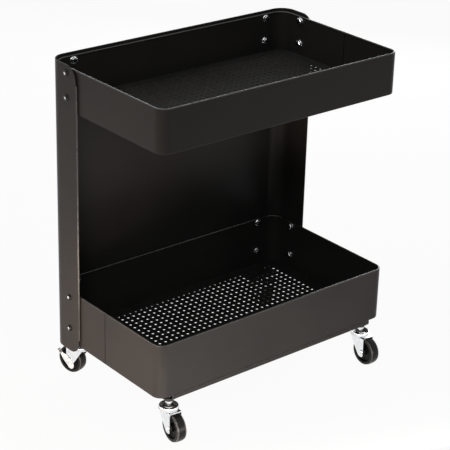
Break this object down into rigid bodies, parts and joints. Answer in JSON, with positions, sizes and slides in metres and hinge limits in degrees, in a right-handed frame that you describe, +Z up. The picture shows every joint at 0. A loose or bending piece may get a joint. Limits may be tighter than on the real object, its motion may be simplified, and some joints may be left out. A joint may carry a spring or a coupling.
{
  "type": "mobile file cart",
  "caption": "Rolling file cart in black sheet steel: open round-cornered trays, one above the other, bolted into a bent back panel and rolling on swivel casters.",
  "frame": {"origin": "on the floor, under the middle of the cart", "axes": "+Z up; -Y towards the open front, +Y towards the back panel; +X to the right as seen from the front"},
  "size_m": [0.5056, 0.3382, 0.578],
  "materials": {
    "black_steel": "satin black powder coat",
    "floor_steel": "satin black powder coat on perforated sheet",
    "dark_zinc": "black zinc plating, glossy",
    "bright_zinc": "bright zinc plating",
    "black_rubber": "hard black rubber, slightly glossy"
  },
  "bodies": {
    "cart": {"back_panel": "black_steel", "upper_tray_wall": "black_steel", "upper_tray_floor": "floor_steel", "lower_tray_wall": "black_steel", "lower_tray_floor": "floor_steel", "front_caster_channel": "black_steel", "rear_left_caster_bracket": "black_steel", "rear_right_caster_bracket": "black_steel", "screw_upper_left_side_top": "dark_zinc", "nut_upper_left_side_top": "bright_zinc", "screw_upper_left_back_top": "dark_zinc", "nut_upper_left_back_top": "bright_zinc", "screw_upper_right_side_top": "dark_zinc", "nut_upper_right_side_top": "bright_zinc", "screw_upper_right_back_top": "dark_zinc", "nut_upper_right_back_top": "bright_zinc", "screw_upper_left_side_low": "dark_zinc", "nut_upper_left_side_low": "bright_zinc", "screw_upper_left_back_low": "dark_zinc", "nut_upper_left_back_low": "bright_zinc", "screw_upper_right_side_low": "dark_zinc", "nut_upper_right_side_low": "bright_zinc", "screw_upper_right_back_low": "dark_zinc", "nut_upper_right_back_low": "bright_zinc", "screw_lower_left_side_top": "dark_zinc", "nut_lower_left_side_top": "bright_zinc", "screw_lower_left_back_top": "dark_zinc", "nut_lower_left_back_top": "bright_zinc", "screw_lower_right_side_top": "dark_zinc", "nut_lower_right_side_top": "bright_zinc", "screw_lower_right_back_top": "dark_zinc", "nut_lower_right_back_top": "bright_zinc", "screw_lower_left_side_low": "dark_zinc", "nut_lower_left_side_low": "bright_zinc", "screw_lower_left_back_low": "dark_zinc", "nut_lower_left_back_low": "bright_zinc", "screw_lower_right_side_low": "dark_zinc", "nut_lower_right_side_low": "bright_zinc", "screw_lower_right_back_low": "dark_zinc", "nut_lower_right_back_low": "bright_zinc", "stem_front_left": "bright_zinc", "stem_front_right": "bright_zinc", "stem_rear_left": "bright_zinc", "stem_rear_right": "bright_zinc"},
    "caster_front_left": {"fork_front_left": "bright_zinc", "axle_front_left": "bright_zinc"},
    "wheel_front_left": {"wheel_front_left": "black_rubber"},
    "caster_front_right": {"fork_front_right": "bright_zinc", "axle_front_right": "bright_zinc"},
    "wheel_front_right": {"wheel_front_right": "black_rubber"},
    "caster_rear_left": {"fork_rear_left": "bright_zinc", "axle_rear_left": "bright_zinc"},
    "wheel_rear_left": {"wheel_rear_left": "black_rubber"},
    "brake_rear_left": {"brake_lever_rear_left": "bright_zinc"},
    "caster_rear_right": {"fork_rear_right": "bright_zinc", "axle_rear_right": "bright_zinc"},
    "wheel_rear_right": {"wheel_rear_right": "black_rubber"},
    "brake_rear_right": {"brake_lever_rear_right": "bright_zinc"}
  },
  "joints": [
    {"name": "swivel_front_left", "type": "hinge", "parent": "cart", "child": "caster_front_left", "pos_m": [-0.2135, -0.1254, 0.05], "axis": [0, 0, 1], "continuous": true},
    {"name": "roll_front_left", "type": "hinge", "parent": "caster_front_left", "child": "wheel_front_left", "pos_m": [-0.21525, -0.14362, 0.025], "axis": [0.9954, -0.0958, 0], "continuous": true},
    {"name": "swivel_front_right", "type": "hinge", "parent": "cart", "child": "caster_front_right", "pos_m": [0.2135, -0.1254, 0.05], "axis": [0, 0, 1], "continuous": true},
    {"name": "roll_front_right", "type": "hinge", "parent": "caster_front_right", "child": "wheel_front_right", "pos_m": [0.21318, -0.1437, 0.025], "axis": [0.9998, -0.0175, 0], "continuous": true},
    {"name": "swivel_rear_left", "type": "hinge", "parent": "cart", "child": "caster_rear_left", "pos_m": [-0.2135, 0.1254, 0.05], "axis": [0, 0, 1], "continuous": true},
    {"name": "roll_rear_left", "type": "hinge", "parent": "caster_rear_left", "child": "wheel_rear_left", "pos_m": [-0.21824, 0.14308, 0.025], "axis": [-0.9659, -0.2588, 0], "continuous": true},
    {"name": "brake_rear_left", "type": "hinge", "parent": "caster_rear_left", "child": "brake_rear_left", "pos_m": [-0.21824, 0.14308, 0.025], "axis": [-0.9659, -0.2588, 0], "range_deg": [0, 20]},
    {"name": "swivel_rear_right", "type": "hinge", "parent": "cart", "child": "caster_rear_right", "pos_m": [0.2135, 0.1254, 0.05], "axis": [0, 0, 1], "continuous": true},
    {"name": "roll_rear_right", "type": "hinge", "parent": "caster_rear_right", "child": "wheel_rear_right", "pos_m": [0.21605, 0.14352, 0.025], "axis": [-0.9903, 0.1392, 0], "continuous": true},
    {"name": "brake_rear_right", "type": "hinge", "parent": "caster_rear_right", "child": "brake_rear_right", "pos_m": [0.21605, 0.14352, 0.025], "axis": [-0.9903, 0.1392, 0], "range_deg": [0, 20]}
  ]
}
